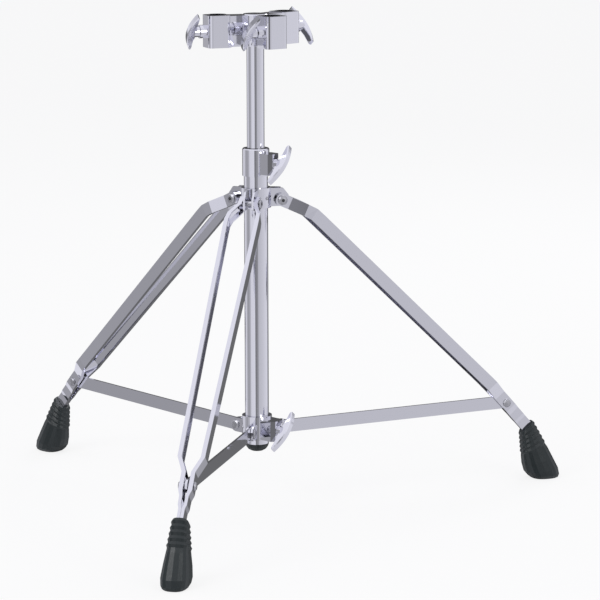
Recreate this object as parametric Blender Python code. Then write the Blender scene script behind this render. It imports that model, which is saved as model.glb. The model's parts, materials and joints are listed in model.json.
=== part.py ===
"""Double tom stand: a chrome tripod with double-braced folding legs, a sliding lower collar with
three flat struts, a height tube in a clamp, and a bracket with three receivers for 22.2 mm arms.

Sizes are in millimetres. The stand is built round its column and then moved so that the origin
lies on the floor under the middle of its footprint.
"""

from math import atan2, cos, degrees, hypot, pi, radians, sin

import bmesh
import bpy
from mathutils import Matrix, Vector

MM = 0.001
GAP = 0.3

# Column
BASE_TUBE_R = 17.45
BASE_TUBE_WALL = 1.6
BASE_TUBE_LOW = 88.0
BASE_TUBE_LENGTH = 433.0
BASE_TUBE_HIGH = BASE_TUBE_LOW + BASE_TUBE_LENGTH
UPPER_TUBE_R = 12.7
UPPER_TUBE_WALL = 1.5
UPPER_TUBE_LENGTH = 425.0
PLUG_DOME = 11.0
PLUG_SPIGOT = 12.0
GLIDE_LENGTH = 16.0
BUSH_LENGTH = 40.0
BUSH_FLANGE = 3.3

# Legs, in the vertical plane of each leg: distance from the column's axis, height
LEG_AZIMUTHS = {"front": -90.0, "right": 30.0, "left": 150.0}
LEG_PIVOT = (36.0, 448.7)
LEG_BEND = (80.5, 428.3)
LEG_NARROW = (362.0, 153.0)
FOOT_NECK = (423.2, 83.8)
STRUT_PIVOT_BELOW_NARROW = 41.7
BRACE_HEIGHT = 18.0
BRACE_DEPTH = 6.0
BRACE_END_DEPTH = 4.4
BRACE_SHEET = 1.8
BRACE_END_R = 10.0
BRACE_IN_FOOT = 13.0
BRACE_AT_PIVOT = 14.5
BRACE_AT_BEND = 25.4
BRACE_AT_NARROW = 19.2
BRACE_AT_STRUT = 9.6
STRUT_SLOT = 4.0

# Fold of the legs about their upper pivots
FOLD_DEG = 43.5

# Struts
STRUT_PIVOT = (39.0, 109.6)
STRUT_HEIGHT = 19.0
STRUT_THICK = 3.2

# Pivots
PIVOT_R = 4.0
PIVOT_HEAD_R = 7.2
PIVOT_HEAD = 3.0

# Upper leg collar and lower collar
COLLAR_WALL = 4.2
COLLAR_BELOW_PIVOT = 10.2
COLLAR_TALL = 29.1
COLLAR_LOW = LEG_PIVOT[1] - COLLAR_BELOW_PIVOT
COLLAR_HIGH = COLLAR_LOW + COLLAR_TALL
UPPER_EAR_THICK = 3.0
UPPER_EAR_OUT = 47.0
LOWER_COLLAR_BELOW_PIVOT = 14.6
LOWER_COLLAR_TALL = 35.0
LOWER_COLLAR_LOW = STRUT_PIVOT[1] - LOWER_COLLAR_BELOW_PIVOT
LOWER_COLLAR_HIGH = LOWER_COLLAR_LOW + LOWER_COLLAR_TALL
LOWER_EAR_THICK = 3.0
LOWER_EAR_END_R = 10.5

# Screw bosses
BOSS_AZIMUTH = -30.0
CLAMP_ABOVE_TUBE = 3.6
CLAMP_TALL = 39.9
CLAMP_HIGH = BASE_TUBE_HIGH + CLAMP_ABOVE_TUBE
CLAMP_LOW = CLAMP_HIGH - CLAMP_TALL
CLAMP_WALL = 1.9
LOWER_BOSS = {"out": 44.0, "wide": 25.0, "low": LOWER_COLLAR_LOW + 2.0, "high": LOWER_COLLAR_HIGH - 3.0}
CLAMP_BOSS = {"out": 39.0, "wide": 22.0, "low": CLAMP_LOW + 3.8, "high": CLAMP_HIGH - 5.6}

# Wing bolts
STEM_R = 3.9
SHOE_R = 6.2
SHOE_LENGTH = 3.5
SHOE_PLAY = 3.0
NUT_WIDE = 13.0
NUT_THICK = 6.5
WING_LENGTH = 66.0
WING_THICK = 9.5
WING_SAG = 9.0
WING_ROOT = 9.5
WING_HUB_R = 7.5
WING_HUB = 8.0
WING_TILT = 42.0

# Bracket
BRACKET_LOW = 672.0
BRACKET_TALL = 46.0
BRACKET_HIGH = BRACKET_LOW + BRACKET_TALL
BRACKET_AZIMUTH = -44.0
TOM_SPREAD = 102.0
TOM_REACH = 58.0
SIDE_REACH = 44.0
HUB_R = 19.0
HUB_SOCKET = 30.0
RECEIVER_BORE_R = 11.4
RECEIVER_WIDE = 34.0
RECEIVER_CORNER_R = 6.0
ARM_WIDE = 32.0
ARM_STEP = 1.0

# Feet: the body's sections are (distance from the column's axis, height), tilt, half length, half width
FOOT_RIBS = 5
FOOT_RIB_END = (436.5, 47.0)
FOOT_BODY = (
    ((438.5, 42.0), 20, 21.0, 16.2),
    ((443.5, 28.0), 12, 23.8, 18.6),
    ((450.0, 13.0), 5, 26.0, 20.4),
    ((453.6, 5.0), 0, 24.6, 19.4),
    ((455.4, 1.4), 0, 21.8, 17.2),
)
FOOT_RIB_DEPTH = 1.6
FOOT_TOP_BELOW_NECK = 2.0
FOOT_TOP_HALF = (12.5, 10.8)
FOOT_RIB_END_HALF = (19.3, 15.4)
FOOT_SIDES = 20
FOOT_SOLE = (456.0, 0.0)
FOOT_SOLE_HALF = (19.0, 15.0)

ROUND_SIDES = 32


def material(name, colour, roughness, metallic):
    made = bpy.data.materials.new(name)
    made.use_nodes = True
    shader = made.node_tree.nodes["Principled BSDF"]
    shader.inputs["Base Color"].default_value = (*colour, 1.0)
    shader.inputs["Roughness"].default_value = roughness
    shader.inputs["Metallic"].default_value = metallic
    made.diffuse_color = (*colour, 1.0)
    return made


def empty(name, parent=None, location=(0, 0, 0), turn=0.0):
    made = bpy.data.objects.new(name, None)
    bpy.context.scene.collection.objects.link(made)
    made.parent = parent
    made.location = Vector(location) * MM
    made.rotation_euler = (0, 0, radians(turn))
    return made


def solid(name, mesh_builder, finish, parent):
    """Links one object made from a bmesh in millimetres."""
    mesh = bpy.data.meshes.new(name)
    bmesh.ops.recalc_face_normals(mesh_builder, faces=mesh_builder.faces)
    mesh_builder.transform(Matrix.Scale(MM, 4))
    mesh_builder.to_mesh(mesh)
    mesh_builder.free()
    mesh.shade_smooth()
    mesh.set_sharp_from_angle(angle=radians(30))
    made = bpy.data.objects.new(name, mesh)
    bpy.context.scene.collection.objects.link(made)
    made.parent = parent
    if finish is not None:
        made.data.materials.append(finish)
    return made


def boolean(target, operation, name, mesh_builder, parent):
    """Adds a Boolean modifier whose hidden operand is made from a bmesh in millimetres."""
    tool = solid(name, mesh_builder, None, parent)
    tool.hide_render = True
    tool.hide_viewport = True
    tool.display_type = "WIRE"
    step = target.modifiers.new(name, "BOOLEAN")
    step.operation = operation
    step.solver = "EXACT"
    step.object = tool


def bridge(shape, lower, upper):
    count = len(lower)
    for i in range(count):
        j = (i + 1) % count
        shape.faces.new((lower[i], lower[j], upper[j], upper[i]))


def add_loft(shape, rings):
    """Joins rings of points into one closed body with flat ends."""
    rows = [[shape.verts.new(point) for point in ring] for ring in rings]
    for lower, upper in zip(rows, rows[1:]):
        bridge(shape, lower, upper)
    shape.faces.new(list(reversed(rows[0])))
    shape.faces.new(rows[-1])


def loft(rings):
    shape = bmesh.new()
    add_loft(shape, rings)
    return shape


def circle(radius, sides=ROUND_SIDES):
    return [(radius * cos(2 * pi * i / sides), radius * sin(2 * pi * i / sides)) for i in range(sides)]


def add_turned(shape, profile, place=None, sides=ROUND_SIDES):
    """Turns a profile of (radius, height) about Z. A profile that starts and ends on the axis is
    solid; any other is closed on itself as a ring."""
    place = place or Matrix.Identity(4)
    on_axis = profile[0][0] == 0
    rows = []
    for radius, height in profile:
        if radius == 0:
            rows.append([shape.verts.new(place @ Vector((0, 0, height)))])
        else:
            rows.append([shape.verts.new(place @ Vector((x, y, height))) for x, y in circle(radius, sides)])
    pairs = list(zip(rows, rows[1:]))
    if not on_axis:
        pairs.append((rows[-1], rows[0]))
    for lower, upper in pairs:
        for i in range(sides):
            j = (i + 1) % sides
            corners = [lower[i % len(lower)], lower[j % len(lower)], upper[j % len(upper)], upper[i % len(upper)]]
            unique = list(dict.fromkeys(corners))
            shape.faces.new(unique)


def turned(profile, place=None, sides=ROUND_SIDES):
    shape = bmesh.new()
    add_turned(shape, profile, place, sides)
    return shape


def add_prism(shape, outline, low, high, place=None):
    """Extrudes an outline of (x, y) from low to high along Z."""
    place = place or Matrix.Identity(4)
    rings = [[place @ Vector((x, y, z)) for x, y in outline] for z in (low, high)]
    add_loft(shape, rings)


def rounded_box_outline(long_side, wide_side, radius, steps=4):
    points = []
    corners = ((1, 1, 0), (-1, 1, 90), (-1, -1, 180), (1, -1, 270))
    for sign_x, sign_y, start in corners:
        centre_x = sign_x * (long_side / 2 - radius)
        centre_y = sign_y * (wide_side / 2 - radius)
        for step in range(steps + 1):
            angle = radians(start + 90 * step / steps)
            points.append((centre_x + radius * cos(angle), centre_y + radius * sin(angle)))
    return points


def pin_profile(radius, low, high):
    return [(0, low), (radius, low), (radius, high), (0, high)]


# Turns the Z axis to lie along Y, across a leg's plane, or along X, out from the column
ACROSS = Matrix.Rotation(radians(-90), 4, "X")
OUTWARD = Matrix.Rotation(radians(90), 4, "Y")
# Puts an outline drawn as (distance, height) upright in a leg's plane, with its depth along Y
UPRIGHT = Matrix(((1, 0, 0, 0), (0, 0, -1, 0), (0, 1, 0, 0), (0, 0, 0, 1)))


def turn_about_column(azimuth):
    return Matrix.Rotation(radians(azimuth), 4, "Z")


def along(start, end, distance):
    """The point at a distance from start towards end."""
    length = hypot(end[0] - start[0], end[1] - start[1])
    share = distance / length
    return (start[0] + (end[0] - start[0]) * share, start[1] + (end[1] - start[1]) * share)


STRUT_SEAT = along(LEG_NARROW, FOOT_NECK, STRUT_PIVOT_BELOW_NARROW)


def folded(point):
    """A point of a leg's plane after the whole fold."""
    turn = radians(FOLD_DEG)
    x = point[0] - LEG_PIVOT[0]
    z = point[1] - LEG_PIVOT[1]
    return (LEG_PIVOT[0] + x * cos(turn) + z * sin(turn), LEG_PIVOT[1] - x * sin(turn) + z * cos(turn))


def fold_travel():
    """How far the lower collar rises over the whole fold, and how far each strut turns."""
    length = hypot(STRUT_SEAT[0] - STRUT_PIVOT[0], STRUT_SEAT[1] - STRUT_PIVOT[1])
    seat = folded(STRUT_SEAT)
    reach = seat[0] - STRUT_PIVOT[0]
    rise = seat[1] + (length**2 - reach**2) ** 0.5 - STRUT_PIVOT[1]
    start = atan2(STRUT_SEAT[1] - STRUT_PIVOT[1], STRUT_SEAT[0] - STRUT_PIVOT[0])
    end = atan2(seat[1] - STRUT_PIVOT[1] - rise, reach)
    return rise, degrees(start - end)


def make_base_tube(parent, chrome):
    inner = BASE_TUBE_R - BASE_TUBE_WALL
    ring = [
        (inner, BASE_TUBE_LOW), (BASE_TUBE_R, BASE_TUBE_LOW), (BASE_TUBE_R, BASE_TUBE_HIGH), (inner, BASE_TUBE_HIGH)
    ]
    tube = solid("base_tube", turned(ring, sides=48), chrome, parent)
    centre = (CLAMP_BOSS["low"] + CLAMP_BOSS["high"]) / 2
    place = turn_about_column(BOSS_AZIMUTH) @ Matrix.Translation((0, 0, centre)) @ OUTWARD
    hole = turned(pin_profile(SHOE_R + 2 * GAP, UPPER_TUBE_R, BASE_TUBE_R + 5), place, 24)
    boolean(tube, "DIFFERENCE", "cut_base_tube", hole, parent)


def make_tube_plug(parent, rubber):
    inner = BASE_TUBE_R - BASE_TUBE_WALL - GAP
    top = BASE_TUBE_LOW - GAP
    profile = [
        (0, top - PLUG_DOME), (9, top - PLUG_DOME), (13, top - 0.8 * PLUG_DOME), (16, top - 0.45 * PLUG_DOME),
        (BASE_TUBE_R, top - 1), (BASE_TUBE_R, top), (inner, top), (inner, top + PLUG_SPIGOT), (0, top + PLUG_SPIGOT),
    ]
    solid("base_tube_plug", turned(profile), rubber, parent)


def ear_outline(end_x, end_z, radius, start_x, low, high):
    """An ear seen from the side: square at the collar, round about its pivot."""
    points = [(start_x, low), (end_x, low)] if low < end_z - radius else [(start_x, end_z - radius)]
    for step in range(9):
        angle = radians(-90 + 180 * step / 8)
        points.append((end_x + radius * cos(angle), end_z + radius * sin(angle)))
    if high > end_z + radius:
        points.append((end_x - 3, high))
    points.append((start_x, high))
    return points


def make_upper_collar(parent, chrome):
    inner = BASE_TUBE_R + GAP
    outer = inner + COLLAR_WALL
    ring = [(inner, COLLAR_LOW), (outer, COLLAR_LOW), (outer, COLLAR_HIGH), (inner, COLLAR_HIGH)]
    collar = solid("upper_leg_collar", turned(ring, sides=48), chrome, parent)
    ears = bmesh.new()
    holes = bmesh.new()
    ear_high = BRACE_AT_PIVOT - BRACE_DEPTH - 2 * GAP
    outline = [
        (inner + 1, COLLAR_LOW + 1), (UPPER_EAR_OUT - 2, COLLAR_LOW + 1), (UPPER_EAR_OUT, COLLAR_LOW + 3),
        (UPPER_EAR_OUT, COLLAR_HIGH - 12), (UPPER_EAR_OUT - 8, COLLAR_HIGH - 2), (inner + 1, COLLAR_HIGH - 1),
    ]
    for azimuth in LEG_AZIMUTHS.values():
        turn = turn_about_column(azimuth)
        for side in (-1, 1):
            low, high = sorted((side * (ear_high - UPPER_EAR_THICK), side * ear_high))
            add_prism(ears, outline, -high, -low, turn @ UPRIGHT)
        place = turn @ Matrix.Translation((LEG_PIVOT[0], 0, LEG_PIVOT[1])) @ ACROSS
        add_turned(holes, pin_profile(PIVOT_R + GAP, -20, 20), place, 20)
    boolean(collar, "UNION", "join_upper_ears", ears, parent)
    boolean(collar, "DIFFERENCE", "cut_upper_ears", holes, parent)


def rivet_profile(half):
    """A rivet along Z with a domed head at both ends, its heads' inner faces at plus and minus half."""
    head = PIVOT_HEAD
    side = [(PIVOT_HEAD_R, half), (PIVOT_HEAD_R, half + 0.3 * head), (0.7 * PIVOT_HEAD_R, half + 0.85 * head)]
    upper = [(PIVOT_R, half), *side, (0, half + head)]
    lower = [(0, -half - head)] + [(radius, -height) for radius, height in reversed(side)] + [(PIVOT_R, -half)]
    return lower + upper


def make_upper_rivets(parent, steel):
    for name, azimuth in LEG_AZIMUTHS.items():
        place = turn_about_column(azimuth) @ Matrix.Translation((LEG_PIVOT[0], 0, LEG_PIVOT[1])) @ ACROSS
        solid(f"leg_pivot_rivet_{name}", turned(rivet_profile(BRACE_AT_PIVOT + GAP), place, 20), steel, parent)


def brace_stations():
    """Along one brace: distance, height, direction, outer face's distance from the leg's middle
    plane, depth of the channel and half its height."""
    half = BRACE_HEIGHT / 2
    upper_run = hypot(LEG_BEND[0] - LEG_PIVOT[0], LEG_BEND[1] - LEG_PIVOT[1])
    main_run = hypot(LEG_NARROW[0] - LEG_BEND[0], LEG_NARROW[1] - LEG_BEND[1])
    upper = atan2(LEG_BEND[1] - LEG_PIVOT[1], LEG_BEND[0] - LEG_PIVOT[0])
    main = atan2(LEG_NARROW[1] - LEG_BEND[1], LEG_NARROW[0] - LEG_BEND[0])
    lower = atan2(FOOT_NECK[1] - LEG_NARROW[1], FOOT_NECK[0] - LEG_NARROW[0])
    middle = (upper + main) / 2
    slot_face = STRUT_SLOT / 2 + BRACE_END_DEPTH
    stations = []
    for back, share in ((-0.97, 0.3), (-0.8, 0.62), (-0.45, 0.9)):
        place = along(LEG_PIVOT, LEG_BEND, back * BRACE_END_R)
        stations.append((place, upper, BRACE_AT_PIVOT, BRACE_DEPTH, share * BRACE_END_R))
    for run, face in ((0.0, BRACE_AT_PIVOT), (13.0, BRACE_AT_PIVOT)):
        stations.append((along(LEG_PIVOT, LEG_BEND, run), upper, face, BRACE_DEPTH, half))
    stations.append((along(LEG_PIVOT, LEG_BEND, upper_run - 12), upper, BRACE_AT_BEND - 1.5, BRACE_DEPTH, half))
    bend = along(LEG_BEND, (LEG_BEND[0] - sin(middle), LEG_BEND[1] - cos(middle)), 1.2)
    stations.append((bend, middle, BRACE_AT_BEND, BRACE_DEPTH, half))
    stations.append((along(LEG_BEND, LEG_NARROW, 14), main, BRACE_AT_BEND, BRACE_DEPTH, half))
    stations.append((along(LEG_BEND, LEG_NARROW, main_run - 8), main, BRACE_AT_NARROW, BRACE_DEPTH, half))
    seat = STRUT_PIVOT_BELOW_NARROW
    neck = hypot(FOOT_NECK[0] - LEG_NARROW[0], FOOT_NECK[1] - LEG_NARROW[1])
    tail = (
        (2, BRACE_AT_NARROW, BRACE_DEPTH),
        (seat - 17, BRACE_AT_STRUT, BRACE_DEPTH),
        (seat + 10, BRACE_AT_STRUT, BRACE_DEPTH),
        (seat + 19, slot_face + 0.2, BRACE_END_DEPTH),
        (seat + 32, slot_face, BRACE_END_DEPTH),
        (seat + 38, BRACE_END_DEPTH + GAP / 2, BRACE_END_DEPTH),
        (neck + BRACE_IN_FOOT, BRACE_END_DEPTH + GAP / 2, BRACE_END_DEPTH),
    )
    for run, face, depth in tail:
        stations.append((along(LEG_NARROW, FOOT_NECK, run), lower, face, depth, half))
    return stations


def make_brace(name, parent, side, chrome):
    rings = []
    for (x, z), direction, face, depth, half in brace_stations():
        up = Vector((-sin(direction), 0, cos(direction)))
        centre = Vector((x - LEG_PIVOT[0], 0, z - LEG_PIVOT[1]))
        flange = min(BRACE_SHEET, half * 0.5)
        section = (
            (-half, face), (half, face), (half, face - depth), (half - flange, face - depth),
            (half - flange, face - BRACE_SHEET), (flange - half, face - BRACE_SHEET),
            (flange - half, face - depth), (-half, face - depth),
        )
        rings.append([centre + up * q + Vector((0, side * y, 0)) for q, y in section])
    brace = solid(name, loft(rings), chrome, parent)
    holes = bmesh.new()
    low, high = (5, 30) if side > 0 else (-30, -5)
    add_turned(holes, pin_profile(PIVOT_R + GAP, low, high), ACROSS, 20)
    seat = Matrix.Translation((STRUT_SEAT[0] - LEG_PIVOT[0], 0, STRUT_SEAT[1] - LEG_PIVOT[1]))
    add_turned(holes, pin_profile(PIVOT_R, low, high), seat @ ACROSS, 20)
    boolean(brace, "DIFFERENCE", f"cut_{name}", holes, parent)


def make_strut_stud(name, parent, side, steel):
    """A short rivet in one brace, whose inner end faces the strut."""
    tip = STRUT_THICK / 2 + 0.4
    face = BRACE_AT_STRUT + GAP
    shank = PIVOT_R - GAP
    profile = [
        (0, tip), (shank, tip), (shank, face), (PIVOT_HEAD_R - 1, face), (PIVOT_HEAD_R - 1, face + 0.8),
        (0.65 * PIVOT_HEAD_R, face + 2.4), (0, face + PIVOT_HEAD),
    ]
    seat = Matrix.Translation((STRUT_SEAT[0] - LEG_PIVOT[0], 0, STRUT_SEAT[1] - LEG_PIVOT[1]))
    flip = Matrix.Identity(4) if side > 0 else Matrix.Rotation(pi, 4, "Z")
    solid(name, turned(profile, seat @ flip @ ACROSS, 20), steel, parent)


def foot_ring(place, tilt, half_long, half_wide):
    """A rounded section across the foot, leaning by its tilt from level."""
    points = []
    for i in range(FOOT_SIDES):
        angle = 2 * pi * i / FOOT_SIDES
        round_x = abs(cos(angle)) ** 0.8 * (1 if cos(angle) >= 0 else -1)
        round_y = abs(sin(angle)) ** 0.8 * (1 if sin(angle) >= 0 else -1)
        q = half_long * round_x
        points.append(
            Vector((place[0] - LEG_PIVOT[0] + q * cos(tilt), half_wide * round_y, place[1] - LEG_PIVOT[1] + q * sin(tilt)))
        )
    return points


def make_foot(name, parent, rubber):
    lean = radians(42)
    rib_low = FOOT_RIB_END
    rings = []
    neck = (FOOT_NECK[0] + 0.75 * FOOT_TOP_BELOW_NECK, FOOT_NECK[1] - FOOT_TOP_BELOW_NECK)
    growth = (FOOT_RIB_END_HALF[0] - FOOT_TOP_HALF[0], FOOT_RIB_END_HALF[1] - FOOT_TOP_HALF[1])
    steps = 2 * FOOT_RIBS
    for step in range(steps + 1):
        share = step / steps
        place = (neck[0] + (rib_low[0] - neck[0]) * share, neck[1] + (rib_low[1] - neck[1]) * share)
        tilt = lean + (radians(24) - lean) * share
        depth = FOOT_RIB_DEPTH if step % 2 else 0.0
        half_long = FOOT_TOP_HALF[0] + growth[0] * share + depth
        half_wide = FOOT_TOP_HALF[1] + growth[1] * share + depth
        rings.append(foot_ring(place, tilt, half_long, half_wide))
    for place, tilt, half_long, half_wide in FOOT_BODY:
        rings.append(foot_ring(place, radians(tilt), half_long, half_wide))
    rings.append(foot_ring(FOOT_SOLE, 0.0, *FOOT_SOLE_HALF))
    foot = solid(name, loft(rings), rubber, parent)
    direction = atan2(FOOT_NECK[1] - LEG_NARROW[1], FOOT_NECK[0] - LEG_NARROW[0])
    high = BRACE_HEIGHT / 2 + GAP
    wide = BRACE_END_DEPTH + 2 * GAP
    pocket = bmesh.new()
    rings = []
    for run in (-30, BRACE_IN_FOOT + GAP):
        centre = Vector((FOOT_NECK[0] - LEG_PIVOT[0], 0, FOOT_NECK[1] - LEG_PIVOT[1]))
        centre = centre + Vector((cos(direction), 0, sin(direction))) * run
        up = Vector((-sin(direction), 0, cos(direction)))
        rings.append([centre + up * q + Vector((0, y, 0)) for q, y in ((-high, -wide), (high, -wide), (high, wide), (-high, wide))])
    add_loft(pocket, rings)
    boolean(foot, "DIFFERENCE", f"cut_{name}", pocket, parent)


def make_legs(parent, chrome, steel, rubber):
    for name, azimuth in LEG_AZIMUTHS.items():
        turn = radians(azimuth)
        pivot = (LEG_PIVOT[0] * cos(turn), LEG_PIVOT[0] * sin(turn), LEG_PIVOT[1])
        axis = empty(f"leg_{name}_axis", parent, pivot, azimuth)
        for side, word in ((1, "a"), (-1, "b")):
            make_brace(f"leg_brace_{name}_{word}", axis, side, chrome)
            make_strut_stud(f"strut_stud_{name}_{word}", axis, side, steel)
        make_foot(f"rubber_foot_{name}", axis, rubber)


def make_struts(parent, chrome, steel):
    length = hypot(STRUT_SEAT[0] - STRUT_PIVOT[0], STRUT_SEAT[1] - STRUT_PIVOT[1])
    slope = atan2(STRUT_SEAT[1] - STRUT_PIVOT[1], STRUT_SEAT[0] - STRUT_PIVOT[0])
    half = STRUT_HEIGHT / 2
    outline = []
    for centre, start in ((0.0, 90), (length, -90)):
        for step in range(13):
            angle = radians(start + 180 * step / 12)
            outline.append((centre + half * cos(angle), half * sin(angle)))
    for name, azimuth in LEG_AZIMUTHS.items():
        turn = radians(azimuth)
        place = (STRUT_PIVOT[0] * cos(turn), STRUT_PIVOT[0] * sin(turn), STRUT_PIVOT[1])
        axis = empty(f"strut_{name}_axis", parent, place, azimuth)
        bar = bmesh.new()
        lean = Matrix.Rotation(-slope, 4, "Y")
        add_prism(bar, outline, -STRUT_THICK / 2, STRUT_THICK / 2, lean @ UPRIGHT)
        strut = solid(f"strut_{name}", bar, chrome, axis)
        hole = turned(pin_profile(PIVOT_R + GAP, -8, 8), ACROSS, 20)
        boolean(strut, "DIFFERENCE", f"cut_strut_{name}", hole, axis)
        ear_face = STRUT_THICK / 2 + 0.5 + LOWER_EAR_THICK
        solid(f"strut_pivot_rivet_{name}", turned(rivet_profile(ear_face + GAP), ACROSS, 20), steel, axis)


def add_screw_bore(shape, place, start, pocket, outer):
    """Cuts for one wing bolt: the shoe's pocket and the stem's hole out to the boss's face."""
    shoe = SHOE_R + GAP
    stem = STEM_R + GAP
    profile = [(0, start), (shoe, start), (shoe, pocket), (stem, pocket), (stem, outer + 6), (0, outer + 6)]
    add_turned(shape, profile, place @ OUTWARD, 24)


def nut_slot(inner):
    """Where the square nut lies along the screw."""
    start = inner + SHOE_LENGTH + SHOE_PLAY + 2.5
    return start, start + NUT_THICK + 2 * GAP


def nut_cutter(place, inner, low):
    start, end = nut_slot(inner)
    half = NUT_WIDE / 2 + GAP
    shape = bmesh.new()
    outline = [(start, -half), (end, -half), (end, half), (start, half)]
    add_prism(shape, outline, low, half, place)
    return shape


def make_nut(name, place, inner, steel, parent):
    start, end = nut_slot(inner)
    half = NUT_WIDE / 2
    shape = bmesh.new()
    outline = [(start + GAP, -half), (end - GAP, -half), (end - GAP, half), (start + GAP, half)]
    add_prism(shape, outline, -half, half, place)
    nut = solid(name, shape, steel, parent)
    hole = turned(pin_profile(STEM_R + GAP, start - 5, end + 5), place @ OUTWARD, 20)
    boolean(nut, "DIFFERENCE", f"cut_{name}", hole, parent)


def make_shoe(name, place, inner, nylon, parent):
    start = inner + GAP
    shape = turned(pin_profile(SHOE_R, start, start + SHOE_LENGTH), place @ OUTWARD, 24)
    solid(name, shape, nylon, parent)


def wing_outline():
    """The wing seen along its thickness, as (distance out, place along its length)."""
    half = WING_LENGTH / 2
    outer = []
    for step in range(15):
        share = -1 + 2 * step / 14
        outer.append((WING_HUB + WING_ROOT - WING_SAG * share**2, half * share))
    tips = WING_HUB + WING_ROOT - WING_SAG
    inner = [(tips - 2.6, half - 3), (WING_HUB - 1.5, half * 0.45), (WING_HUB - 3.0, WING_HUB_R)]
    mirrored = [(x, -y) for x, y in reversed(inner)]
    return outer + inner + mirrored


def make_wing_bolt(name, place, start, face, tilt, chrome, parent):
    """start is the inner end of the stem and face the boss's outer face, both from the bore's axis."""
    hub_start = face + GAP
    profile = [
        (0, start), (STEM_R - GAP, start), (STEM_R - GAP, hub_start), (WING_HUB_R, hub_start),
        (WING_HUB_R, hub_start + WING_HUB), (0, hub_start + WING_HUB),
    ]
    bolt = solid(name, turned(profile, place @ OUTWARD, 24), chrome, parent)
    shape = bmesh.new()
    half = WING_THICK / 2
    outline = wing_outline()
    rings = []
    for level, inset in ((-half, 1.4), (-half + 1.2, 0.0), (half - 1.2, 0.0), (half, 1.4)):
        ring = []
        for x, y in outline:
            draw_in = 1 - inset / (WING_LENGTH / 2)
            ring.append(Vector((hub_start + x - inset * (0.9 if x > WING_HUB else -0.3), y * draw_in, level)))
        rings.append(ring)
    add_loft(shape, rings)
    shape.transform(place @ Matrix.Rotation(radians(90 - tilt), 4, "X"))
    boolean(bolt, "UNION", f"join_{name}", shape, parent)


def make_lower_collar(parent, chrome, steel, nylon):
    inner = BASE_TUBE_R + GAP
    outer = inner + COLLAR_WALL
    ring = [(inner, LOWER_COLLAR_LOW), (outer, LOWER_COLLAR_LOW), (outer, LOWER_COLLAR_HIGH), (inner, LOWER_COLLAR_HIGH)]
    collar = solid("lower_collar", turned(ring, sides=48), chrome, parent)
    added = bmesh.new()
    holes = bmesh.new()
    inside = STRUT_THICK / 2 + 0.5
    radius = LOWER_EAR_END_R
    low, high = STRUT_PIVOT[1] - radius, STRUT_PIVOT[1] + radius
    outline = ear_outline(STRUT_PIVOT[0], STRUT_PIVOT[1], radius, inner + 1.5, low, high)
    for azimuth in LEG_AZIMUTHS.values():
        turn = turn_about_column(azimuth)
        for side in (-1, 1):
            near, far = sorted((side * inside, side * (inside + LOWER_EAR_THICK)))
            add_prism(added, outline, -far, -near, turn @ UPRIGHT)
        place = turn @ Matrix.Translation((STRUT_PIVOT[0], 0, STRUT_PIVOT[1])) @ ACROSS
        add_turned(holes, pin_profile(PIVOT_R + GAP, -12, 12), place, 20)
    boss = LOWER_BOSS
    centre = (boss["low"] + boss["high"]) / 2
    turn = turn_about_column(BOSS_AZIMUTH)
    half = boss["wide"] / 2
    shape = [(inner + 1, -half), (boss["out"] - 5, -half), (boss["out"], 5 - half)]
    shape += [(x, -y) for x, y in reversed(shape)]
    add_prism(added, shape, boss["low"], boss["high"], turn)
    place = turn @ Matrix.Translation((0, 0, centre))
    add_screw_bore(holes, place, BASE_TUBE_R - 4, BASE_TUBE_R + SHOE_LENGTH + SHOE_PLAY, boss["out"])
    boolean(collar, "UNION", "join_lower_collar", added, parent)
    boolean(collar, "DIFFERENCE", "cut_lower_collar", holes, parent)
    boolean(collar, "DIFFERENCE", "cut_lower_nut", nut_cutter(place, BASE_TUBE_R, -40), parent)
    make_nut("collar_nut", place, BASE_TUBE_R, steel, parent)
    make_shoe("collar_shoe", place, BASE_TUBE_R, nylon, parent)
    start = BASE_TUBE_R + 2 * GAP + SHOE_LENGTH
    make_wing_bolt("collar_wing_bolt", place, start, boss["out"], WING_TILT, chrome, parent)


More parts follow.
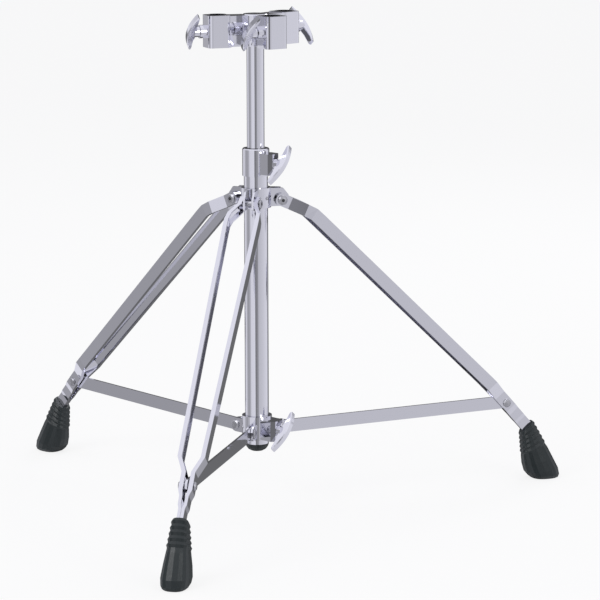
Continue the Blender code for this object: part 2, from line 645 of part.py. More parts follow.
def make_height_clamp(parent, chrome, steel, nylon):
    inner = BASE_TUBE_R + GAP
    outer = inner + CLAMP_WALL
    ring = [(inner, CLAMP_LOW), (outer, CLAMP_LOW), (outer, CLAMP_HIGH - 1.5), (outer - 1, CLAMP_HIGH), (inner, CLAMP_HIGH)]
    clamp = solid("height_clamp", turned(ring, sides=48), chrome, parent)
    boss = CLAMP_BOSS
    centre = (boss["low"] + boss["high"]) / 2
    turn = turn_about_column(BOSS_AZIMUTH)
    half = boss["wide"] / 2
    shape = [(inner + 0.8, -half), (boss["out"] - 5, -half), (boss["out"], 5 - half)]
    shape += [(x, -y) for x, y in reversed(shape)]
    block = bmesh.new()
    add_prism(block, shape, boss["low"], boss["high"], turn)
    place = turn @ Matrix.Translation((0, 0, centre))
    holes = bmesh.new()
    add_screw_bore(holes, place, inner - 4, inner + 5, boss["out"])
    boolean(clamp, "UNION", "join_clamp_boss", block, parent)
    boolean(clamp, "DIFFERENCE", "cut_clamp_bore", holes, parent)
    boolean(clamp, "DIFFERENCE", "cut_clamp_nut", nut_cutter(place, BASE_TUBE_R, -40), parent)
    make_nut("clamp_nut", place, BASE_TUBE_R, steel, parent)
    make_shoe("clamp_shoe", place, UPPER_TUBE_R, nylon, parent)
    start = UPPER_TUBE_R + 2 * GAP + SHOE_LENGTH
    make_wing_bolt("height_wing_bolt", place, start, boss["out"], WING_TILT, chrome, parent)
    bore = UPPER_TUBE_R + GAP
    fit = BASE_TUBE_R - BASE_TUBE_WALL - GAP
    top = BASE_TUBE_HIGH + GAP
    profile = [
        (bore, top - BUSH_LENGTH), (fit, top - BUSH_LENGTH), (fit, top), (BASE_TUBE_R - GAP, top),
        (BASE_TUBE_R - GAP, top + BUSH_FLANGE), (bore, top + BUSH_FLANGE),
    ]
    bush = solid("clamp_bush", turned(profile, sides=48), nylon, parent)
    hole = turned(pin_profile(SHOE_R + 2 * GAP, 8, BASE_TUBE_R + 5), place @ OUTWARD, 24)
    boolean(bush, "DIFFERENCE", "cut_clamp_bush", hole, parent)


def tube_low():
    return BRACKET_LOW + HUB_SOCKET - GAP - UPPER_TUBE_LENGTH


def make_upper_tube(parent, chrome, nylon):
    inner = UPPER_TUBE_R - UPPER_TUBE_WALL
    low = tube_low()
    high = low + UPPER_TUBE_LENGTH
    ring = [(inner, low), (UPPER_TUBE_R, low), (UPPER_TUBE_R, high), (inner, high)]
    solid("upper_tube", turned(ring, sides=48), chrome, parent)
    fit = BASE_TUBE_R - BASE_TUBE_WALL - GAP
    top = low - GAP
    profile = [
        (0, top - GLIDE_LENGTH), (fit - 2, top - GLIDE_LENGTH), (fit, top - GLIDE_LENGTH + 2), (fit, top),
        (inner - GAP, top), (inner - GAP, top + 12), (0, top + 12),
    ]
    solid("tube_glide", turned(profile), nylon, parent)


def make_hub(parent, chrome):
    socket = UPPER_TUBE_R + GAP
    profile = [
        (socket, BRACKET_LOW), (HUB_R, BRACKET_LOW), (HUB_R, BRACKET_HIGH - 2), (HUB_R - 2, BRACKET_HIGH),
        (0, BRACKET_HIGH), (0, BRACKET_LOW + HUB_SOCKET), (socket, BRACKET_LOW + HUB_SOCKET),
    ]
    shape = bmesh.new()
    rows = []
    for radius, height in profile:
        points = circle(radius) if radius else [(0, 0)]
        rows.append([shape.verts.new((x, y, height)) for x, y in points])
    pairs = [(0, 1), (1, 2), (2, 3), (3, 4), (5, 6), (6, 0)]
    for first, second in pairs:
        lower, upper = rows[first], rows[second]
        for i in range(ROUND_SIDES):
            j = (i + 1) % ROUND_SIDES
            corners = [lower[i % len(lower)], lower[j % len(lower)], upper[j % len(upper)], upper[i % len(upper)]]
            shape.faces.new(list(dict.fromkeys(corners)))
    solid("bracket_hub", shape, chrome, parent)


def make_receiver(name, parent, azimuth, reach, screw_azimuth, chrome, steel, nylon):
    """One receiver: an arm from the hub and a rounded block with a bore for a 22.2 mm arm."""
    turn = turn_about_column(azimuth)
    middle = turn @ Matrix.Translation((reach, 0, 0))
    low, high = BRACKET_LOW, BRACKET_HIGH
    block = bmesh.new()
    outline = rounded_box_outline(RECEIVER_WIDE, RECEIVER_WIDE, RECEIVER_CORNER_R)
    add_prism(block, outline, low, high, middle)
    receiver = solid(name, block, chrome, parent)
    arm = bmesh.new()
    half = ARM_WIDE / 2
    start = HUB_R + GAP
    end = reach - RECEIVER_BORE_R - 2
    steps = 6
    spread = atan2(half, start)
    outline = [(end, -half), (end, half)]
    for step in range(steps + 1):
        angle = spread - 2 * spread * step / steps
        outline.append((start / cos(pi / ROUND_SIDES) * cos(angle), start / cos(pi / ROUND_SIDES) * sin(angle)))
    add_prism(arm, outline, low + ARM_STEP, high - ARM_STEP, turn)
    boolean(receiver, "UNION", f"join_{name}", arm, parent)
    screw = turn_about_column(screw_azimuth)
    centre = middle.translation + Vector((0, 0, (low + high) / 2))
    place = Matrix.Translation(centre) @ screw
    boss_out = RECEIVER_WIDE / 2 + 10
    boss = turned(pin_profile(9.5, RECEIVER_BORE_R + 2, boss_out), place @ OUTWARD, 24)
    boolean(receiver, "UNION", f"boss_{name}", boss, parent)
    bore = turned(pin_profile(RECEIVER_BORE_R, low - 5, high + 5), middle)
    boolean(receiver, "DIFFERENCE", f"bore_{name}", bore, parent)
    holes = bmesh.new()
    pocket = RECEIVER_BORE_R + SHOE_LENGTH + SHOE_PLAY
    add_screw_bore(holes, place, RECEIVER_BORE_R - 4, pocket, boss_out)
    boolean(receiver, "DIFFERENCE", f"pocket_{name}", holes, parent)
    word = name.replace("receiver_", "")
    shoe = turned(pin_profile(SHOE_R, RECEIVER_BORE_R + 0.2, RECEIVER_BORE_R + SHOE_LENGTH), place @ OUTWARD, 24)
    solid(f"receiver_shoe_{word}", shoe, nylon, parent)
    start = RECEIVER_BORE_R + SHOE_LENGTH + GAP
    make_wing_bolt(f"receiver_wing_bolt_{word}", place, start, boss_out, WING_TILT, chrome, parent)


def make_bracket(parent, chrome, steel, nylon):
    make_hub(parent, chrome)
    side = BRACKET_AZIMUTH
    for name, azimuth, reach, screw in (
        ("receiver_left", side - TOM_SPREAD, TOM_REACH, side - TOM_SPREAD),
        ("receiver_right", side + TOM_SPREAD, TOM_REACH, side + TOM_SPREAD),
        ("receiver_side", side, SIDE_REACH, side - 90),
    ):
        make_receiver(name, parent, azimuth, reach, screw, chrome, steel, nylon)


def centre_footprint(root):
    """Moves the stand so that the origin is on the floor under the middle of its bounding box."""
    bpy.context.view_layer.update()
    graph = bpy.context.evaluated_depsgraph_get()
    low, high = Vector((1e9,) * 3), Vector((-1e9,) * 3)
    for part in bpy.context.scene.objects:
        if part.type != "MESH" or part.hide_render:
            continue
        made = part.evaluated_get(graph)
        mesh = made.to_mesh()
        for vertex in mesh.vertices:
            point = made.matrix_world @ vertex.co
            low = Vector(map(min, low, point))
            high = Vector(map(max, high, point))
        made.to_mesh_clear()
    root.location -= Vector(((low.x + high.x) / 2, (low.y + high.y) / 2, low.z))


def main():
    for old in list(bpy.data.objects):
        bpy.data.objects.remove(old)
    chrome = material("chrome", (0.72, 0.72, 0.76), 0.12, 1.0)
    steel = material("zinc_steel", (0.5, 0.5, 0.52), 0.3, 1.0)
    rubber = material("black_rubber", (0.015, 0.022, 0.024), 0.45, 0.0)
    nylon = material("black_nylon", (0.03, 0.03, 0.032), 0.5, 0.0)
    root = empty("stand")
    make_base_tube(root, chrome)
    make_tube_plug(root, rubber)
    make_upper_collar(root, chrome)
    make_upper_rivets(root, steel)
    make_height_clamp(root, chrome, steel, nylon)
    make_legs(root, chrome, steel, rubber)
    make_struts(root, chrome, steel)
    make_lower_collar(root, chrome, steel, nylon)
    make_upper_tube(root, chrome, nylon)
    make_bracket(root, chrome, steel, nylon)
    centre_footprint(root)
    rise, strut_turn = fold_travel()
    print(f"Collar rise {rise:.3f} mm, strut turn {strut_turn:.3f} degrees, column at {root.location[:]}")


main()
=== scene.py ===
"""Dresses the double tom stand: finishes, rivets, painted shade plates in the driver recesses, bore liners,
light and camera.

Lengths are in metres, and angles whose names end in _deg are in degrees.
"""

from __future__ import annotations

import json
import logging
from dataclasses import dataclass
from enum import Enum
from math import atan2, hypot, pi, radians

import bpy
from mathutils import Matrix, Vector

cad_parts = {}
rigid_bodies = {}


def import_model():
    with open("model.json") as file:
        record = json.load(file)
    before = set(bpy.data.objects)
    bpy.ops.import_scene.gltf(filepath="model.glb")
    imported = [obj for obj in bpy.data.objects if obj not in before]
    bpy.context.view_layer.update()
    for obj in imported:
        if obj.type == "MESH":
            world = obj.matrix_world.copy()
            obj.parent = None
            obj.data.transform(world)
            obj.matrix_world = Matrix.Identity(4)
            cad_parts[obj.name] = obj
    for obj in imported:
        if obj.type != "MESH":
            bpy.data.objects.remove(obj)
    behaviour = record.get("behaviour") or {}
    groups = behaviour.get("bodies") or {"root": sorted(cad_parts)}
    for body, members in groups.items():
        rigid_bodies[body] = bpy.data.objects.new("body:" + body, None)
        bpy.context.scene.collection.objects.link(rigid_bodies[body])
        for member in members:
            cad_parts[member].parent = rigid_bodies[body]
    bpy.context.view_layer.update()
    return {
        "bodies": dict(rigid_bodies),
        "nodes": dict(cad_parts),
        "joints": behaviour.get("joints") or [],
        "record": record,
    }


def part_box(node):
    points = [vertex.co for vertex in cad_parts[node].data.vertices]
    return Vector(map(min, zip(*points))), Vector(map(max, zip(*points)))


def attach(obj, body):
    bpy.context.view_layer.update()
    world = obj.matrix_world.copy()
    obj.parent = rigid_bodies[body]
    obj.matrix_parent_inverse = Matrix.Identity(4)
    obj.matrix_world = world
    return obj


LOG = logging.getLogger("tom_stand")

# The studio's panels: azimuth in degrees, from -180 to 180, and brightness
PANELS = (
    (-180, 0.62),
    (-168, 0.30),
    (-146, 0.34),
    (-128, 0.80),
    (-92, 0.85),
    (-80, 0.05),
    (-70, 0.06),
    (-60, 0.55),
    (-20, 0.66),
    (40, 0.85),
    (66, 0.04),
    (138, 0.04),
    (150, 0.90),
    (180, 0.62),
)
# How much stronger blue is than red and green in what the chrome mirrors
COOL = 1.07
FULL_TURN_DEG = 360
NOISE_DETAIL = 4.0
BUMP_DISTANCE = 0.0002


def column_axis() -> tuple[float, float]:
    """The column's place in plan, from its base tube."""
    low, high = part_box("base_tube")
    return (low[0] + high[0]) / 2, (low[1] + high[1]) / 2


class Coat(Enum):
    """The kinds of surface on the stand."""

    CHROME = "chrome"
    ZINC = "zinc_steel"
    RUBBER = "black_rubber"
    NYLON = "black_nylon"


@dataclass(frozen=True)
class Finish:
    """A procedural finish: its colour and metal, with fine wear in its roughness and surface.

    Attributes:
        coat: the kind of surface.
        colour: linear red, green and blue.
        metallic: 1 for metal, and 0 for rubber or nylon.
        roughness: the roughness where it is least worn.
        wear: how much rougher the most worn places are.
        grain: the scale of the noise.
        bump: the strength of the surface's fine unevenness.
    """

    coat: Coat
    colour: tuple[float, float, float]
    metallic: float
    roughness: float
    wear: float
    grain: float
    bump: float

    def build(self) -> bpy.types.Material:
        """Builds the material with noise on object coordinates.

        Returns:
            The finished material.
        """
        made = bpy.data.materials.new(f"finish_{self.coat.value}")
        made.use_nodes = True
        tree = made.node_tree
        shader = tree.nodes["Principled BSDF"]
        shader.inputs["Base Color"].default_value = (*self.colour, 1.0)
        shader.inputs["Metallic"].default_value = self.metallic
        coords = tree.nodes.new("ShaderNodeTexCoord")
        noise = tree.nodes.new("ShaderNodeTexNoise")
        noise.inputs["Scale"].default_value = self.grain
        noise.inputs["Detail"].default_value = NOISE_DETAIL
        tree.links.new(coords.outputs["Object"], noise.inputs["Vector"])
        spread = tree.nodes.new("ShaderNodeMapRange")
        spread.inputs["To Min"].default_value = self.roughness
        spread.inputs["To Max"].default_value = self.roughness + self.wear
        tree.links.new(noise.outputs["Fac"], spread.inputs["Value"])
        tree.links.new(spread.outputs["Result"], shader.inputs["Roughness"])
        bump = tree.nodes.new("ShaderNodeBump")
        bump.inputs["Strength"].default_value = self.bump
        bump.inputs["Distance"].default_value = BUMP_DISTANCE
        tree.links.new(noise.outputs["Fac"], bump.inputs["Height"])
        tree.links.new(bump.outputs["Normal"], shader.inputs["Normal"])
        return made


FINISHES = (
    Finish(
        Coat.CHROME, (0.74, 0.74, 0.80), metallic=1.0, roughness=0.04, wear=0.05, grain=60.0, bump=0.03
    ),
    Finish(
        Coat.ZINC, (0.46, 0.46, 0.49), metallic=1.0, roughness=0.28, wear=0.14, grain=220.0, bump=0.10
    ),
    Finish(
        Coat.RUBBER, (0.006, 0.012, 0.013), metallic=0.0, roughness=0.30, wear=0.12, grain=260.0, bump=0.25
    ),
    Finish(
        Coat.NYLON, (0.022, 0.022, 0.025), metallic=0.0, roughness=0.38, wear=0.12, grain=180.0, bump=0.20
    ),
)


class Paint:
    """Gives every CAD node the finish of its material slot."""

    def __init__(self) -> None:
        """Builds the finishes once."""
        self.materials: dict[Coat, bpy.types.Material] = {finish.coat: finish.build() for finish in FINISHES}

    def dress(self, frame: dict) -> None:
        """Paints the CAD nodes.
        """
        slots = {part["node"]: part["material_slot"] for part in frame["record"]["subparts"]}
        for name, node in frame["nodes"].items():
            node.data.materials.clear()
            node.data.materials.append(self.materials[Coat(slots[name])])
        LOG.info("painted %d nodes", len(frame["nodes"]))


class NodeTree:
    """A Geometry Nodes group with named inputs, turned into one finished mesh."""

    def __init__(self, name: str, inputs: dict[str, tuple[str, float | int]]) -> None:
        """Starts the group.

        Args:
            name: the group's name, and the finished piece's.
            inputs: each input's socket type and value, by its name.
        """
        self.name = name
        self.values = inputs
        self.tree = bpy.data.node_groups.new(name, "GeometryNodeTree")
        self.identifiers: dict[str, str] = {}
        for label, (kind, _) in inputs.items():
            socket = self.tree.interface.new_socket(label, in_out="INPUT", socket_type=kind)
            self.identifiers[label] = socket.identifier
        self.tree.interface.new_socket("Geometry", in_out="OUTPUT", socket_type="NodeSocketGeometry")
        self.source = self.tree.nodes.new("NodeGroupInput")
        self.sink = self.tree.nodes.new("NodeGroupOutput")

    def add(self, kind: str) -> bpy.types.Node:
        """Adds a node of this kind."""
        return self.tree.nodes.new(kind)

    def link(self, output: bpy.types.NodeSocket, socket: bpy.types.NodeSocket) -> None:
        """Links two sockets."""
        self.tree.links.new(output, socket)

    def finish(self, geometry: bpy.types.NodeSocket, material: bpy.types.Material) -> bpy.types.Object:
        """Realizes the instances, sets the material and bakes the result to a plain mesh.

        Args:
            geometry: the output that carries the instances.
            material: the finish.

        Returns:
            The finished piece, at the origin.
        """
        real = self.add("GeometryNodeRealizeInstances")
        coat = self.add("GeometryNodeSetMaterial")
        coat.inputs["Material"].default_value = material
        self.link(geometry, real.inputs["Geometry"])
        self.link(real.outputs["Geometry"], coat.inputs["Geometry"])
        self.link(coat.outputs["Geometry"], self.sink.inputs[0])
        holder = bpy.data.objects.new(f"{self.name}_source", bpy.data.meshes.new(f"{self.name}_source"))
        bpy.context.scene.collection.objects.link(holder)
        step = holder.modifiers.new(self.name, "NODES")
        step.node_group = self.tree
        for label, (_, value) in self.values.items():
            step[self.identifiers[label]] = value
        bpy.context.view_layer.update()
        graph = bpy.context.evaluated_depsgraph_get()
        mesh = bpy.data.meshes.new_from_object(holder.evaluated_get(graph))
        bpy.data.objects.remove(holder)
        piece = bpy.data.objects.new(self.name, mesh)
        bpy.context.scene.collection.objects.link(piece)
        LOG.info("built %s with %d faces", self.name, len(mesh.polygons))
        return piece


@dataclass
class RivetRing:
    """Domed rivet heads round a collar, between its ears.

    Attributes:
        name: the piece's name.
        collar: the CAD node that they sit on, which gives their height.
        body: the body that they ride on.
        count: how many heads there are.
        sweep_deg: the angle from the first head to the last.
        start_deg: the first head's angle in plan.
        head_r: a head's radius.
        proud: how far a head stands out of the collar's wall.
        wall_r: the radius of the collar's wall.
        segments: a head's faces round its axis.
        rings: a head's faces from pole to pole.
    """

    name: str
    collar: str
    body: str
    count: int
    sweep_deg: float
    start_deg: float = 90.0
    head_r: float = 0.0030
    proud: float = 0.0019
    wall_r: float = 0.02195
    segments: int = 20
    rings: int = 12

    def build(self, paint: Paint) -> bpy.types.Object:
        """Builds the heads and lets them ride on the collar's body.

        Args:
            paint: the finishes.

        Returns:
            The piece.
        """
        low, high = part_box(self.collar)
        group = NodeTree(
            self.name,
            {
                "Count": ("NodeSocketInt", self.count),
                "Ring Radius": ("NodeSocketFloat", self.wall_r - self.head_r + self.proud),
                "Head Radius": ("NodeSocketFloat", self.head_r),
            },
        )
        arc = group.add("GeometryNodeCurveArc")
        arc.inputs["Start Angle"].default_value = radians(self.start_deg)
        arc.inputs["Sweep Angle"].default_value = radians(self.sweep_deg)
        group.link(group.source.outputs["Count"], arc.inputs["Resolution"])
        group.link(group.source.outputs["Ring Radius"], arc.inputs["Radius"])
        head = group.add("GeometryNodeMeshUVSphere")
        head.inputs["Segments"].default_value = self.segments
        head.inputs["Rings"].default_value = self.rings
        group.link(group.source.outputs["Head Radius"], head.inputs["Radius"])
        points = group.add("GeometryNodeInstanceOnPoints")
        group.link(arc.outputs["Curve"], points.inputs["Points"])
        group.link(head.outputs["Mesh"], points.inputs["Instance"])
        move = group.add("GeometryNodeTranslateInstances")
        move.inputs["Translation"].default_value = (*column_axis(), (low[2] + high[2]) / 2)
        move.inputs["Local Space"].default_value = False
        group.link(points.outputs["Instances"], move.inputs["Instances"])
        piece = group.finish(move.outputs["Instances"], paint.materials[Coat.ZINC])
        piece.data.shade_smooth()
        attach(piece, self.body)
        return piece


@dataclass
class PivotRecessShades:
    """Painted shade in the driver recesses of the leg pivots: thin dark plates on one side of every leg,
    which stand in for the shade inside each recess.

    Attributes:
        side: 1 or -1, the side of each leg.
        pivot_r: the pivots' distance from the column's axis.
        head_face: how far a head's face lies from its leg's middle plane.
        pivot_z: the pivots' height.
        recess_r: a plate's radius.
        depth: a plate's thickness, half of it outside the head's face.
        first_leg_deg: the first leg's angle in plan.
        legs: how many legs there are.
        sides: how many sides a plate has.
    """

    side: int
    pivot_r: float = 0.036
    head_face: float = 0.0178
    pivot_z: float = 0.4487
    recess_r: float = 0.0026
    depth: float = 0.0006
    first_leg_deg: float = 30.0
    legs: int = 3
    sides: int = 6

    def build(self, paint: Paint) -> bpy.types.Object:
        """Builds one six-sided plate of painted shade for each leg.

        Args:
            paint: the finishes.

        Returns:
            The piece.
        """
        lean = self.side * atan2(self.head_face, self.pivot_r)
        group = NodeTree(
            f"pivot_recesses_{'a' if self.side > 0 else 'b'}",
            {
                "Ring Radius": ("NodeSocketFloat", hypot(self.pivot_r, self.head_face)),
                "Turn": ("NodeSocketFloat", pi / 2 - lean),
                "Recess Radius": ("NodeSocketFloat", self.recess_r),
            },
        )
        arc = group.add("GeometryNodeCurveArc")
        arc.inputs["Resolution"].default_value = self.legs
        arc.inputs["Start Angle"].default_value = radians(self.first_leg_deg) + lean
        arc.inputs["Sweep Angle"].default_value = radians(FULL_TURN_DEG * (self.legs - 1) / self.legs)
        group.link(group.source.outputs["Ring Radius"], arc.inputs["Radius"])
        across = group.add("ShaderNodeVectorRotate")
        across.rotation_type = "Z_AXIS"
        place = group.add("GeometryNodeInputPosition")
        group.link(place.outputs["Position"], across.inputs["Vector"])
        group.link(group.source.outputs["Turn"], across.inputs["Angle"])
        aim = group.add("FunctionNodeAlignRotationToVector")
        aim.axis = "Z"
        group.link(across.outputs["Vector"], aim.inputs["Vector"])
        shade_plate = group.add("GeometryNodeMeshCylinder")
        shade_plate.inputs["Vertices"].default_value = self.sides
        shade_plate.inputs["Depth"].default_value = self.depth
        group.link(group.source.outputs["Recess Radius"], shade_plate.inputs["Radius"])
        points = group.add("GeometryNodeInstanceOnPoints")
        group.link(arc.outputs["Curve"], points.inputs["Points"])
        group.link(shade_plate.outputs["Mesh"], points.inputs["Instance"])
        group.link(aim.outputs["Rotation"], points.inputs["Rotation"])
        move = group.add("GeometryNodeTranslateInstances")
        move.inputs["Translation"].default_value = (*column_axis(), self.pivot_z)
        move.inputs["Local Space"].default_value = False
        group.link(points.outputs["Instances"], move.inputs["Instances"])
        # The black nylon finish on these plates is painted shade for the recesses, not a nylon part.
        piece = group.finish(move.outputs["Instances"], paint.materials[Coat.NYLON])
        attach(piece, "base")
        return piece


@dataclass
class BoreLiner:
    """The dark lip of a receiver's liner, round the mouth of its bore.

    Attributes:
        word: the receiver's word in the names of its nodes and its opening.
        inner_r: the lip's inner radius.
        outer_r: the lip's outer radius.
        lip: how far it stands above the receiver.
        sides: how many straight runs make its circle.
    """

    word: str
    inner_r: float = 0.01145
    outer_r: float = 0.0136
    lip: float = 0.0007
    sides: int = 48

    def build(self, paint: Paint, centre: Vector, top: float) -> bpy.types.Object:
        """Builds the lip on the receiver's top face.

        Args:
            paint: the finishes.
            centre: the middle of the bore.
            top: the height of the receiver's top face.

        Returns:
            The piece.
        """
        group = NodeTree(
            f"bore_liner_{self.word}",
            {
                "Radius": ("NodeSocketFloat", (self.inner_r + self.outer_r) / 2),
                "Lip": ("NodeSocketFloat", self.lip),
            },
        )
        path = group.add("GeometryNodeCurvePrimitiveCircle")
        path.inputs["Resolution"].default_value = self.sides
        group.link(group.source.outputs["Radius"], path.inputs["Radius"])
        section = group.add("GeometryNodeCurvePrimitiveQuadrilateral")
        section.inputs["Width"].default_value = self.outer_r - self.inner_r
        group.link(group.source.outputs["Lip"], section.inputs["Height"])
        sweep = group.add("GeometryNodeCurveToMesh")
        group.link(path.outputs["Curve"], sweep.inputs["Curve"])
        group.link(section.outputs["Curve"], sweep.inputs["Profile Curve"])
        move = group.add("GeometryNodeTransform")
        move.inputs["Translation"].default_value = (centre.x, centre.y, top + self.lip / 2)
        group.link(sweep.outputs["Mesh"], move.inputs["Geometry"])
        piece = group.finish(move.outputs["Geometry"], paint.materials[Coat.NYLON])
        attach(piece, "post")
        return piece


@dataclass
class Stand:
    """The dressed stand."""

    paint: Paint

    def bore_centre(self, opening: dict) -> Vector:
        """The middle of a receiver's bore.

        Args:
            opening: the record's entry for the bore.

        Returns:
            The middle of its box.
        """
        low, high = (Vector(corner) for corner in opening["box_m"])
        return (low + high) / 2

    def build(self, frame: dict) -> None:
        """Paints the frame and adds the visual pieces.
        """
        self.paint.dress(frame)
        rings = (
            RivetRing("upper_collar_rivets", "upper_leg_collar", "base", count=3, sweep_deg=240.0),
            RivetRing("lower_collar_rivets", "lower_collar", "collar", count=2, sweep_deg=120.0),
        )
        for ring in rings:
            ring.build(self.paint)
        # Thin dark plates of painted shade in the driver recesses of the leg pivots, on both sides of every
        # leg.
        for side in (1, -1):
            PivotRecessShades(side).build(self.paint)
        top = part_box("bracket_hub")[1][2]
        for opening in frame["record"]["physics"]["openings"]:
            word = opening["name"].removeprefix("bore_")
            BoreLiner(word).build(self.paint, self.bore_centre(opening), top)


@dataclass(frozen=True)
class Light:
    """A soft area light aimed at the middle of the stand.

    Attributes:
        name: the light's name.
        place: where it stands.
        size: the side of its square.
        power: its power in watts.
    """

    name: str
    place: tuple[float, float, float]
    size: float
    power: float

    def build(self, target: Vector) -> None:
        """Adds the light.

        Args:
            target: where it points.
        """
        lamp = bpy.data.lights.new(self.name, "AREA")
        lamp.shape = "SQUARE"
        lamp.size = self.size
        lamp.energy = self.power
        holder = bpy.data.objects.new(self.name, lamp)
        holder.location = self.place
        holder.rotation_euler = (target - Vector(self.place)).to_track_quat("-Z", "Y").to_euler()
        bpy.context.scene.collection.objects.link(holder)


LIGHT_TARGET = Vector((0.0, 0.1, 0.38))
LIGHTS = (
    Light("key", (-1.8, -2.4, 2.6), size=1.6, power=34.0),
    Light("fill", (2.6, -1.6, 1.4), size=1.2, power=14.0),
    Light("rim", (0.6, 2.8, 2.2), size=1.4, power=20.0),
)


@dataclass
class Studio:
    """The pale floor, the light and the camera at the photograph's viewpoint.

    Attributes:
        floor_size: the side of the floor.
        floor_grey: the floor's own colour.
        floor_roughness: the floor's roughness.
        floor_glow: the pale glow's share in what the camera sees of the floor.
        pale: the glow's brightness, where 1 is white.
        mirrored_share: the pale glow's share in what metal mirrors.
        overhead: the brightness above.
        overhead_starts: the upward part of a direction at which that brightness begins.
        overhead_full: the upward part at which it is full.
        clip_end: how far the camera sees.
        lens: the camera's focal length in millimetres.
        place: where the camera stands.
        turn_deg: the camera's turn about X, Y and Z.
    """

    floor_size: float = 40.0
    floor_grey: float = 0.9
    floor_roughness: float = 0.9
    floor_glow: float = 0.86
    pale: float = 0.97
    mirrored_share: float = 0.07
    overhead: float = 0.95
    overhead_starts: float = 0.45
    overhead_full: float = 0.7
    clip_end: float = 100.0
    lens: float = 164.9
    place: tuple[float, float, float] = (0.9378, -3.7059, 1.0590)
    turn_deg: tuple[float, float, float] = (79.092, 0.089, 12.85)

    def pale_mix(
        self, tree: bpy.types.NodeTree, other: bpy.types.NodeSocket, glow: bpy.types.Node, share: float
    ) -> bpy.types.NodeSocket:
        """Mixes a pale glow, seen by the camera and faintly in metal, with another shader.

        Args:
            tree: the node tree.
            other: the shader that every other ray sees.
            glow: the emission or background node that glows.
            share: how much of what the camera sees is the glow.

        Returns:
            The mixed shader's output.
        """
        glow.inputs["Color"].default_value = (self.pale, self.pale, self.pale, 1.0)
        glow.inputs["Strength"].default_value = 1.0
        path = tree.nodes.new("ShaderNodeLightPath")
        seen = tree.nodes.new("ShaderNodeMath")
        seen.operation = "MULTIPLY"
        seen.inputs[1].default_value = share
        tree.links.new(path.outputs["Is Camera Ray"], seen.inputs[0])
        mirrored = tree.nodes.new("ShaderNodeMath")
        mirrored.operation = "ADD"
        tree.links.new(path.outputs["Is Glossy Ray"], mirrored.inputs[0])
        tree.links.new(path.outputs["Is Transmission Ray"], mirrored.inputs[1])
        total = tree.nodes.new("ShaderNodeMath")
        total.operation = "MULTIPLY_ADD"
        total.inputs[1].default_value = self.mirrored_share
        tree.links.new(mirrored.outputs["Value"], total.inputs[0])
        tree.links.new(seen.outputs["Value"], total.inputs[2])
        mix = tree.nodes.new("ShaderNodeMixShader")
        tree.links.new(total.outputs["Value"], mix.inputs[0])
        tree.links.new(other, mix.inputs[1])
        tree.links.new(glow.outputs[0], mix.inputs[2])
        return mix.outputs[0]

    def panels(self, tree: bpy.types.NodeTree) -> bpy.types.NodeSocket:
        """Builds the ring of bright panels and dark gaps that the chrome mirrors.

        Args:
            tree: the world's node tree.

        Returns:
            The colour output.
        """
        coords = tree.nodes.new("ShaderNodeTexCoord")
        parts = tree.nodes.new("ShaderNodeSeparateXYZ")
        tree.links.new(coords.outputs["Generated"], parts.inputs["Vector"])
        angle = tree.nodes.new("ShaderNodeMath")
        angle.operation = "ARCTAN2"
        tree.links.new(parts.outputs["Y"], angle.inputs[0])
        tree.links.new(parts.outputs["X"], angle.inputs[1])
        share = tree.nodes.new("ShaderNodeMapRange")
        share.inputs["From Min"].default_value = -pi
        share.inputs["From Max"].default_value = pi
        tree.links.new(angle.outputs["Value"], share.inputs["Value"])
        ring = tree.nodes.new("ShaderNodeValToRGB")
        stops = ring.color_ramp.elements
        while len(stops) > 1:
            stops.remove(stops[-1])
        for index, (azimuth, grey) in enumerate(PANELS):
            place = azimuth / FULL_TURN_DEG + 0.5
            stop = stops[0] if index == 0 else stops.new(place)
            stop.position = place
            stop.color = (grey, grey, grey * COOL, 1.0)
        tree.links.new(share.outputs["Result"], ring.inputs["Fac"])
        height = tree.nodes.new("ShaderNodeMapRange")
        height.inputs["From Min"].default_value = self.overhead_starts
        height.inputs["From Max"].default_value = self.overhead_full
        tree.links.new(parts.outputs["Z"], height.inputs["Value"])
        over = tree.nodes.new("ShaderNodeMix")
        over.data_type = "RGBA"
        over.inputs["B"].default_value = (self.overhead, self.overhead, self.overhead * COOL, 1.0)
        tree.links.new(height.outputs["Result"], over.inputs["Factor"])
        tree.links.new(ring.outputs["Color"], over.inputs["A"])
        return over.outputs["Result"]

    def world(self) -> None:
        """Sets a world that is pale to the camera and has panels for the chrome to mirror."""
        world = bpy.data.worlds.new("studio")
        bpy.context.scene.world = world
        world.use_nodes = True
        tree = world.node_tree
        around = tree.nodes["Background"]
        tree.links.new(self.panels(tree), around.inputs["Color"])
        glow = tree.nodes.new("ShaderNodeBackground")
        mixed = self.pale_mix(tree, around.outputs[0], glow, 1.0)
        tree.links.new(mixed, tree.nodes["World Output"].inputs["Surface"])

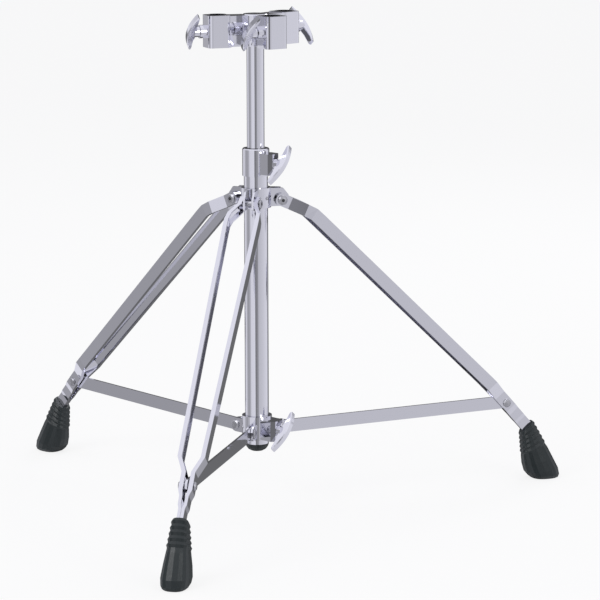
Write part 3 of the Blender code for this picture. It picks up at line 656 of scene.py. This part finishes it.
    def floor_finish(self) -> bpy.types.Material:
        """Builds the floor's finish, which is clear to most mirrored rays, so that chrome shows the panels.

        Returns:
            The material.
        """
        made = bpy.data.materials.new("floor")
        made.use_nodes = True
        tree = made.node_tree
        shader = tree.nodes["Principled BSDF"]
        shader.inputs["Base Color"].default_value = (self.floor_grey, self.floor_grey, self.floor_grey, 1.0)
        shader.inputs["Roughness"].default_value = self.floor_roughness
        glow = tree.nodes.new("ShaderNodeEmission")
        lit = self.pale_mix(tree, shader.outputs[0], glow, self.floor_glow)
        clear = tree.nodes.new("ShaderNodeBsdfTransparent")
        faint = tree.nodes.new("ShaderNodeMixShader")
        faint.inputs[0].default_value = self.mirrored_share
        tree.links.new(clear.outputs[0], faint.inputs[1])
        tree.links.new(glow.outputs[0], faint.inputs[2])
        path = tree.nodes.new("ShaderNodeLightPath")
        whole = tree.nodes.new("ShaderNodeMixShader")
        tree.links.new(path.outputs["Is Glossy Ray"], whole.inputs[0])
        tree.links.new(lit, whole.inputs[1])
        tree.links.new(faint.outputs[0], whole.inputs[2])
        tree.links.new(whole.outputs[0], tree.nodes["Material Output"].inputs["Surface"])
        return made

    def floor(self) -> None:
        """Adds the pale floor, which keeps part of the stand's soft shadows."""
        half = self.floor_size / 2
        mesh = bpy.data.meshes.new("floor")
        corners = [(-half, -half, 0), (half, -half, 0), (half, half, 0), (-half, half, 0)]
        mesh.from_pydata(corners, [], [(0, 1, 2, 3)])
        mesh.materials.append(self.floor_finish())
        plane = bpy.data.objects.new("floor", mesh)
        bpy.context.scene.collection.objects.link(plane)

    def camera(self) -> None:
        """Adds the camera at the photograph's viewpoint."""
        view = bpy.data.cameras.new("photo_view")
        view.lens = self.lens
        view.clip_end = self.clip_end
        holder = bpy.data.objects.new("photo_view", view)
        holder.location = self.place
        holder.rotation_euler = [radians(angle) for angle in self.turn_deg]
        bpy.context.scene.collection.objects.link(holder)
        bpy.context.scene.camera = holder

    def build(self) -> None:
        """Builds the studio."""
        self.world()
        self.floor()
        for light in LIGHTS:
            light.build(LIGHT_TARGET)
        self.camera()
        bpy.context.scene.view_settings.view_transform = "Standard"


def main() -> None:
    """Builds the dressed stand and builds the studio."""
    logging.basicConfig(level=logging.INFO)
    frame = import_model()
    Stand(Paint()).build(frame)
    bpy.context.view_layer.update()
    Studio().build()


if __name__ == "__main__":
    main()
